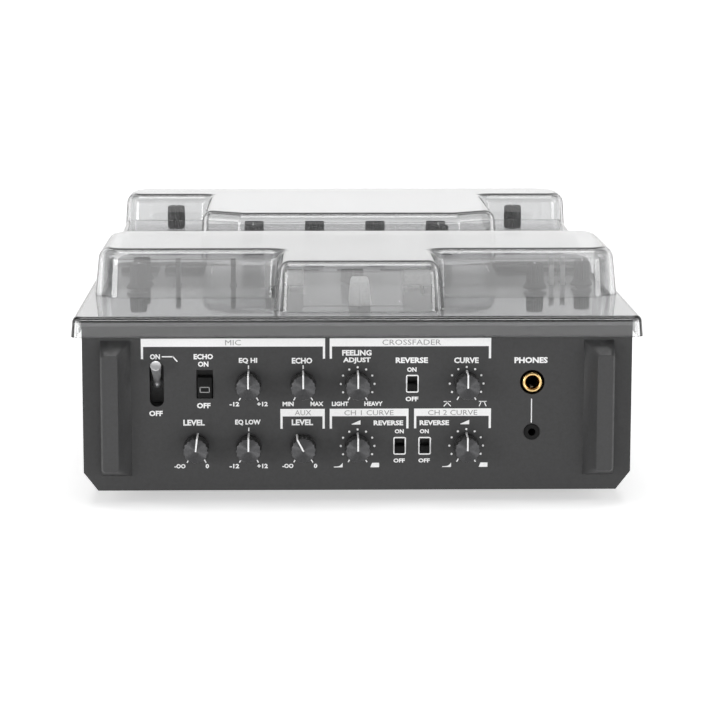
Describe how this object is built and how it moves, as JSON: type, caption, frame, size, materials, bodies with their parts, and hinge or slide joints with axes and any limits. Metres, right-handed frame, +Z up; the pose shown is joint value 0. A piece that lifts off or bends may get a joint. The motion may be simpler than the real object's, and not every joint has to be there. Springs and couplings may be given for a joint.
{
  "type": "dj mixer",
  "caption": "Flat tabletop mixer in a dark steel case: rotary knobs and switches on its front, faders, pads and knobs on its deck, and a clear stepped dust cover that lifts off.",
  "frame": {"origin": "middle of the whole outline, on the surface that the feet stand on", "axes": "+X to the right as the user faces it, +Y from the front panel to the rear, +Z up"},
  "size_m": [0.2776, 0.41, 0.1187],
  "materials": {
    "case_paint": "matt",
    "deck_paint": "satin",
    "guard_paint": "matt",
    "foot_rubber": "matt",
    "board_resist": "satin",
    "bare_metal": "satin",
    "pot_shell": "matt",
    "switch_plastic": "matt",
    "gilt_brass": "satin",
    "socket_nickel": "satin",
    "screw_black": "satin",
    "clear_cover": "gloss",
    "fader_cap_plastic": "satin",
    "toggle_steel": "satin",
    "slider_plastic": "satin",
    "lever_plastic": "satin",
    "pad_rubber": "matt",
    "knob_plastic": "satin",
    "deck_knob_rubber": "satin"
  },
  "bodies": {
    "chassis": {"bottom_tray": "case_paint", "front_panel": "case_paint", "deck_plate": "deck_paint", "rear_panel": "case_paint", "front_bumpers": "guard_paint", "rubber_feet": "foot_rubber", "main_board": "board_resist", "power_supply": "bare_metal", "fader_units": "bare_metal", "front_potentiometers": "pot_shell", "deck_potentiometers": "pot_shell", "front_switch_bodies": "switch_plastic", "phones_jack_ring": "gilt_brass", "jack_bodies": "switch_plastic", "xlr_sockets": "socket_nickel", "rca_sockets": "gilt_brass", "usb_sockets": "bare_metal", "power_inlet": "switch_plastic", "case_screws": "screw_black"},
    "dust_cover": {"dust_cover": "clear_cover"},
    "crossfader_cap": {"crossfader_cap": "fader_cap_plastic"},
    "channel_fader_1": {"channel_fader_1": "fader_cap_plastic"},
    "channel_fader_2": {"channel_fader_2": "fader_cap_plastic"},
    "mic_toggle": {"mic_toggle": "toggle_steel"},
    "echo_switch": {"echo_switch": "slider_plastic"},
    "crossfader_reverse_switch": {"crossfader_reverse_switch": "slider_plastic"},
    "channel_1_reverse_switch": {"channel_1_reverse_switch": "slider_plastic"},
    "channel_2_reverse_switch": {"channel_2_reverse_switch": "slider_plastic"},
    "power_rocker": {"power_rocker": "slider_plastic"},
    "effect_lever_1": {"effect_lever_1": "lever_plastic"},
    "effect_lever_2": {"effect_lever_2": "lever_plastic"},
    "input_selector_1": {"input_selector_1": "toggle_steel"},
    "input_selector_2": {"input_selector_2": "toggle_steel"},
    "pads_left": {"pads_left": "pad_rubber"},
    "pads_right": {"pads_right": "pad_rubber"},
    "effect_buttons": {"effect_buttons": "pad_rubber"},
    "mic_high_knob": {"mic_high_knob": "knob_plastic"},
    "echo_knob": {"echo_knob": "knob_plastic"},
    "feeling_adjust_knob": {"feeling_adjust_knob": "knob_plastic"},
    "crossfader_curve_knob": {"crossfader_curve_knob": "knob_plastic"},
    "mic_level_knob": {"mic_level_knob": "knob_plastic"},
    "mic_low_knob": {"mic_low_knob": "knob_plastic"},
    "aux_level_knob": {"aux_level_knob": "knob_plastic"},
    "channel_1_curve_knob": {"channel_1_curve_knob": "knob_plastic"},
    "channel_2_curve_knob": {"channel_2_curve_knob": "knob_plastic"},
    "channel_1_high_knob": {"channel_1_high_knob": "deck_knob_rubber"},
    "channel_1_mid_knob": {"channel_1_mid_knob": "deck_knob_rubber"},
    "channel_1_low_knob": {"channel_1_low_knob": "deck_knob_rubber"},
    "channel_2_high_knob": {"channel_2_high_knob": "deck_knob_rubber"},
    "channel_2_mid_knob": {"channel_2_mid_knob": "deck_knob_rubber"},
    "channel_2_low_knob": {"channel_2_low_knob": "deck_knob_rubber"},
    "filter_1_knob": {"filter_1_knob": "deck_knob_rubber"},
    "filter_2_knob": {"filter_2_knob": "deck_knob_rubber"},
    "trim_1_knob": {"trim_1_knob": "deck_knob_rubber"},
    "trim_2_knob": {"trim_2_knob": "deck_knob_rubber"},
    "phones_level_knob": {"phones_level_knob": "deck_knob_rubber"},
    "phones_mix_knob": {"phones_mix_knob": "deck_knob_rubber"},
    "sampler_level_knob": {"sampler_level_knob": "deck_knob_rubber"},
    "booth_level_knob": {"booth_level_knob": "deck_knob_rubber"},
    "master_level_knob": {"master_level_knob": "deck_knob_rubber"}
  },
  "joints": [
    {"name": "dust_cover_slide", "type": "slide", "parent": "chassis", "child": "dust_cover", "axis": [0, 0, 1], "range_m": [0, 0.15]},
    {"name": "crossfader_cap_slide", "type": "slide", "parent": "chassis", "child": "crossfader_cap", "axis": [1, 0, 0], "range_m": [-0.0245, 0.0205]},
    {"name": "channel_fader_1_slide", "type": "slide", "parent": "chassis", "child": "channel_fader_1", "axis": [0, 1, 0], "range_m": [-0.0225, 0.0225]},
    {"name": "channel_fader_2_slide", "type": "slide", "parent": "chassis", "child": "channel_fader_2", "axis": [0, 1, 0], "range_m": [-0.0225, 0.0225]},
    {"name": "mic_toggle_flip", "type": "hinge", "parent": "chassis", "child": "mic_toggle", "pos_m": [-0.0975, -0.1865, 0.0586], "axis": [1, 0, 0], "range_deg": [0, 74]},
    {"name": "echo_switch_slide", "type": "slide", "parent": "chassis", "child": "echo_switch", "axis": [0, 0, 1], "range_m": [0, 0.003]},
    {"name": "crossfader_reverse_switch_slide", "type": "slide", "parent": "chassis", "child": "crossfader_reverse_switch", "axis": [0, 0, 1], "range_m": [0, 0.003]},
    {"name": "channel_1_reverse_switch_slide", "type": "slide", "parent": "chassis", "child": "channel_1_reverse_switch", "axis": [0, 0, 1], "range_m": [0, 0.003]},
    {"name": "channel_2_reverse_switch_slide", "type": "slide", "parent": "chassis", "child": "channel_2_reverse_switch", "axis": [0, 0, 1], "range_m": [0, 0.003]},
    {"name": "power_rocker_rock", "type": "hinge", "parent": "chassis", "child": "power_rocker", "pos_m": [0.108, 0.191, 0.066], "axis": [1, 0, 0], "range_deg": [0, 20]},
    {"name": "effect_lever_1_tilt", "type": "hinge", "parent": "chassis", "child": "effect_lever_1", "pos_m": [-0.092, -0.0705, 0.086], "axis": [1, 0, 0], "range_deg": [-20, 20], "stiffness_Nm_per_rad": 0.03},
    {"name": "effect_lever_2_tilt", "type": "hinge", "parent": "chassis", "child": "effect_lever_2", "pos_m": [-0.063, -0.0705, 0.086], "axis": [1, 0, 0], "range_deg": [-20, 20], "stiffness_Nm_per_rad": 0.03},
    {"name": "input_selector_1_tilt", "type": "hinge", "parent": "chassis", "child": "input_selector_1", "pos_m": [0.106, -0.0645, 0.086], "axis": [1, 0, 0], "range_deg": [-15, 15]},
    {"name": "input_selector_2_tilt", "type": "hinge", "parent": "chassis", "child": "input_selector_2", "pos_m": [0.112, -0.0645, 0.086], "axis": [1, 0, 0], "range_deg": [-15, 15]},
    {"name": "pads_left_slide", "type": "slide", "parent": "chassis", "child": "pads_left", "axis": [0, 0, -1], "range_m": [0, 0.001], "stiffness_N_per_m": 1500, "springref_m": -0.001},
    {"name": "pads_right_slide", "type": "slide", "parent": "chassis", "child": "pads_right", "axis": [0, 0, -1], "range_m": [0, 0.001], "stiffness_N_per_m": 1500, "springref_m": -0.001},
    {"name": "effect_buttons_slide", "type": "slide", "parent": "chassis", "child": "effect_buttons", "axis": [0, 0, -1], "range_m": [0, 0.001], "stiffness_N_per_m": 800, "springref_m": -0.001},
    {"name": "mic_high_knob_turn", "type": "hinge", "parent": "chassis", "child": "mic_high_knob", "pos_m": [-0.053, -0.1925, 0.0586], "axis": [0, -1, 0], "range_deg": [-150, 150]},
    {"name": "echo_knob_turn", "type": "hinge", "parent": "chassis", "child": "echo_knob", "pos_m": [-0.0265, -0.1925, 0.0586], "axis": [0, -1, 0], "range_deg": [-150, 150]},
    {"name": "feeling_adjust_knob_turn", "type": "hinge", "parent": "chassis", "child": "feeling_adjust_knob", "pos_m": [0, -0.1925, 0.0586], "axis": [0, -1, 0], "range_deg": [-150, 150]},
    {"name": "crossfader_curve_knob_turn", "type": "hinge", "parent": "chassis", "child": "crossfader_curve_knob", "pos_m": [0.053, -0.1925, 0.0586], "axis": [0, -1, 0], "range_deg": [-150, 150]},
    {"name": "mic_level_knob_turn", "type": "hinge", "parent": "chassis", "child": "mic_level_knob", "pos_m": [-0.0785, -0.1925, 0.0279], "axis": [0, -1, 0], "range_deg": [-150, 150]},
    {"name": "mic_low_knob_turn", "type": "hinge", "parent": "chassis", "child": "mic_low_knob", "pos_m": [-0.053, -0.1925, 0.0279], "axis": [0, -1, 0], "range_deg": [-150, 150]},
    {"name": "aux_level_knob_turn", "type": "hinge", "parent": "chassis", "child": "aux_level_knob", "pos_m": [-0.0265, -0.1925, 0.0279], "axis": [0, -1, 0], "range_deg": [-178, 122]},
    {"name": "channel_1_curve_knob_turn", "type": "hinge", "parent": "chassis", "child": "channel_1_curve_knob", "pos_m": [0, -0.1925, 0.0279], "axis": [0, -1, 0], "range_deg": [-150, 150]},
    {"name": "channel_2_curve_knob_turn", "type": "hinge", "parent": "chassis", "child": "channel_2_curve_knob", "pos_m": [0.053, -0.1925, 0.0279], "axis": [0, -1, 0], "range_deg": [-150, 150]},
    {"name": "channel_1_low_knob_turn", "type": "hinge", "parent": "chassis", "child": "channel_1_low_knob", "pos_m": [-0.0555, 0.0755, 0.09], "axis": [0, 0, 1], "range_deg": [-150, 150]},
    {"name": "channel_1_mid_knob_turn", "type": "hinge", "parent": "chassis", "child": "channel_1_mid_knob", "pos_m": [-0.0555, 0.1125, 0.09], "axis": [0, 0, 1], "range_deg": [-150, 150]},
    {"name": "channel_1_high_knob_turn", "type": "hinge", "parent": "chassis", "child": "channel_1_high_knob", "pos_m": [-0.0555, 0.1495, 0.09], "axis": [0, 0, 1], "range_deg": [-150, 150]},
    {"name": "channel_2_low_knob_turn", "type": "hinge", "parent": "chassis", "child": "channel_2_low_knob", "pos_m": [0.0555, 0.0755, 0.09], "axis": [0, 0, 1], "range_deg": [-150, 150]},
    {"name": "channel_2_mid_knob_turn", "type": "hinge", "parent": "chassis", "child": "channel_2_mid_knob", "pos_m": [0.0555, 0.1125, 0.09], "axis": [0, 0, 1], "range_deg": [-150, 150]},
    {"name": "channel_2_high_knob_turn", "type": "hinge", "parent": "chassis", "child": "channel_2_high_knob", "pos_m": [0.0555, 0.1495, 0.09], "axis": [0, 0, 1], "range_deg": [-150, 150]},
    {"name": "filter_1_knob_turn", "type": "hinge", "parent": "chassis", "child": "filter_1_knob", "pos_m": [-0.0185, 0.1495, 0.09], "axis": [0, 0, 1], "range_deg": [-150, 150]},
    {"name": "filter_2_knob_turn", "type": "hinge", "parent": "chassis", "child": "filter_2_knob", "pos_m": [0.0185, 0.1495, 0.09], "axis": [0, 0, 1], "range_deg": [-150, 150]},
    {"name": "trim_1_knob_turn", "type": "hinge", "parent": "chassis", "child": "trim_1_knob", "pos_m": [-0.103, 0.1525, 0.09], "axis": [0, 0, 1], "range_deg": [-150, 150]},
    {"name": "trim_2_knob_turn", "type": "hinge", "parent": "chassis", "child": "trim_2_knob", "pos_m": [0.103, 0.1525, 0.09], "axis": [0, 0, 1], "range_deg": [-150, 150]},
    {"name": "phones_level_knob_turn", "type": "hinge", "parent": "chassis", "child": "phones_level_knob", "pos_m": [-0.112, -0.0875, 0.09], "axis": [0, 0, 1], "range_deg": [-150, 150]},
    {"name": "phones_mix_knob_turn", "type": "hinge", "parent": "chassis", "child": "phones_mix_knob", "pos_m": [-0.112, -0.0545, 0.09], "axis": [0, 0, 1], "range_deg": [-150, 150]},
    {"name": "sampler_level_knob_turn", "type": "hinge", "parent": "chassis", "child": "sampler_level_knob", "pos_m": [0.095, -0.0895, 0.09], "axis": [0, 0, 1], "range_deg": [-150, 150]},
    {"name": "booth_level_knob_turn", "type": "hinge", "parent": "chassis", "child": "booth_level_knob", "pos_m": [0.121, -0.0785, 0.09], "axis": [0, 0, 1], "range_deg": [-150, 150]},
    {"name": "master_level_knob_turn", "type": "hinge", "parent": "chassis", "child": "master_level_knob", "pos_m": [0, -0.0705, 0.09], "axis": [0, 0, 1], "range_deg": [-150, 150]}
  ]
}
